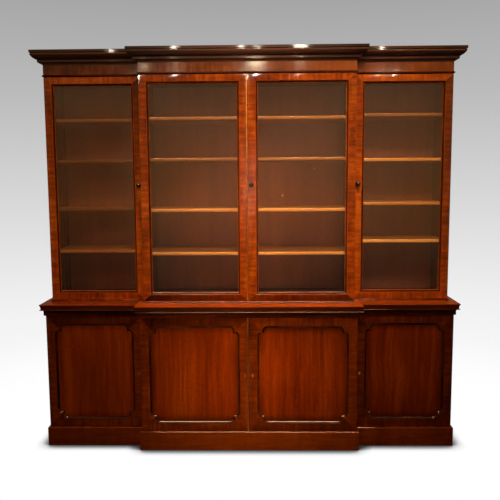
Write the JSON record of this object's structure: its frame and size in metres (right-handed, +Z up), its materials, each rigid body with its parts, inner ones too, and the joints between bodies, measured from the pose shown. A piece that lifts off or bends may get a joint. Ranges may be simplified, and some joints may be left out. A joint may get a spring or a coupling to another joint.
{
  "type": "breakfront bookcase",
  "caption": "Two stage mahogany library bookcase with a forward centre bay, glazed upper doors over panelled cupboards, moulded cornice and plinth.",
  "frame": {"origin": "on the floor, under the middle of the bounding box", "axes": "+X along the width to the right of someone facing the doors, +Y from the doors to the wall, +Z up"},
  "size_m": [2.54, 0.512, 2.38],
  "materials": {
    "mahogany_polished": "french polished mahogany veneer, glossy",
    "mahogany_case": "mahogany carcass timber, satin",
    "mahogany_panel": "flame figured mahogany veneer, french polished",
    "mahogany_dark": "dark stained mahogany moulding, polished",
    "shelf_wood": "mahogany faced shelf board, satin",
    "back_wood": "stained pine back boarding, matt",
    "glass": "clear window glass",
    "brass": "lacquered brass, lightly tarnished",
    "ebony": "turned ebonised wood, polished"
  },
  "bodies": {
    "case": {"base_back": "back_wood", "base_case": "mahogany_case", "cornice": "mahogany_dark", "hinge_base_centre_left_lower": "brass", "hinge_base_centre_left_upper": "brass", "hinge_base_centre_right_lower": "brass", "hinge_base_centre_right_upper": "brass", "hinge_base_left_wing_lower": "brass", "hinge_base_left_wing_upper": "brass", "hinge_base_right_wing_lower": "brass", "hinge_base_right_wing_upper": "brass", "hinge_upper_centre_left_lower": "brass", "hinge_upper_centre_left_upper": "brass", "hinge_upper_centre_right_lower": "brass", "hinge_upper_centre_right_upper": "brass", "hinge_upper_left_wing_lower": "brass", "hinge_upper_left_wing_upper": "brass", "hinge_upper_right_wing_lower": "brass", "hinge_upper_right_wing_upper": "brass", "plinth": "mahogany_dark", "shelf_centre_1": "shelf_wood", "shelf_centre_2": "shelf_wood", "shelf_centre_3": "shelf_wood", "shelf_centre_4": "shelf_wood", "shelf_left_1": "shelf_wood", "shelf_left_2": "shelf_wood", "shelf_left_3": "shelf_wood", "shelf_left_4": "shelf_wood", "shelf_right_1": "shelf_wood", "shelf_right_2": "shelf_wood", "shelf_right_3": "shelf_wood", "shelf_right_4": "shelf_wood", "upper_back_centre": "back_wood", "upper_back_left": "back_wood", "upper_back_right": "back_wood", "upper_case_centre": "mahogany_case", "upper_case_left": "mahogany_case", "upper_case_right": "mahogany_case", "waist_board": "mahogany_polished"},
    "upper_left_wing_door": {"door_upper_left_wing": "mahogany_polished", "glass_upper_left_wing": "glass", "knob_left_wing": "ebony"},
    "upper_centre_left_door": {"door_upper_centre_left": "mahogany_polished", "glass_upper_centre_left": "glass", "meeting_strip_upper": "brass"},
    "upper_centre_right_door": {"door_upper_centre_right": "mahogany_polished", "glass_upper_centre_right": "glass", "knob_centre_right": "ebony"},
    "upper_right_wing_door": {"door_upper_right_wing": "mahogany_polished", "glass_upper_right_wing": "glass", "knob_right_wing": "ebony"},
    "base_left_wing_door": {"door_base_left_wing": "mahogany_polished", "panel_base_left_wing": "mahogany_panel"},
    "base_centre_left_door": {"door_base_centre_left": "mahogany_polished", "panel_base_centre_left": "mahogany_panel", "meeting_strip_base": "brass"},
    "base_centre_right_door": {"door_base_centre_right": "mahogany_polished", "panel_base_centre_right": "mahogany_panel"},
    "base_right_wing_door": {"door_base_right_wing": "mahogany_polished", "panel_base_right_wing": "mahogany_panel"}
  },
  "joints": [
    {"name": "upper_left_wing_hinge", "type": "hinge", "parent": "case", "child": "upper_left_wing_door", "pos_m": [-1.21, -0.04985, 1.56325], "axis": [0, 0, -1], "range_deg": [0, 170]},
    {"name": "upper_centre_left_hinge", "type": "hinge", "parent": "case", "child": "upper_centre_left_door", "pos_m": [-0.634, -0.11985, 1.56325], "axis": [0, 0, -1], "range_deg": [0, 120]},
    {"name": "upper_centre_right_hinge", "type": "hinge", "parent": "case", "child": "upper_centre_right_door", "pos_m": [0.634, -0.11985, 1.56325], "axis": [0, 0, 1], "range_deg": [0, 120]},
    {"name": "upper_right_wing_hinge", "type": "hinge", "parent": "case", "child": "upper_right_wing_door", "pos_m": [1.21, -0.04985, 1.56325], "axis": [0, 0, 1], "range_deg": [0, 170]},
    {"name": "base_left_wing_hinge", "type": "hinge", "parent": "case", "child": "base_left_wing_door", "pos_m": [-1.2275, -0.13185, 0.46375], "axis": [0, 0, -1], "range_deg": [0, 170]},
    {"name": "base_centre_left_hinge", "type": "hinge", "parent": "case", "child": "base_centre_left_door", "pos_m": [-0.6455, -0.20185, 0.46375], "axis": [0, 0, -1], "range_deg": [0, 170]},
    {"name": "base_centre_right_hinge", "type": "hinge", "parent": "case", "child": "base_centre_right_door", "pos_m": [0.6455, -0.20185, 0.46375], "axis": [0, 0, 1], "range_deg": [0, 170]},
    {"name": "base_right_wing_hinge", "type": "hinge", "parent": "case", "child": "base_right_wing_door", "pos_m": [1.2275, -0.13185, 0.46375], "axis": [0, 0, 1], "range_deg": [0, 170]}
  ]
}
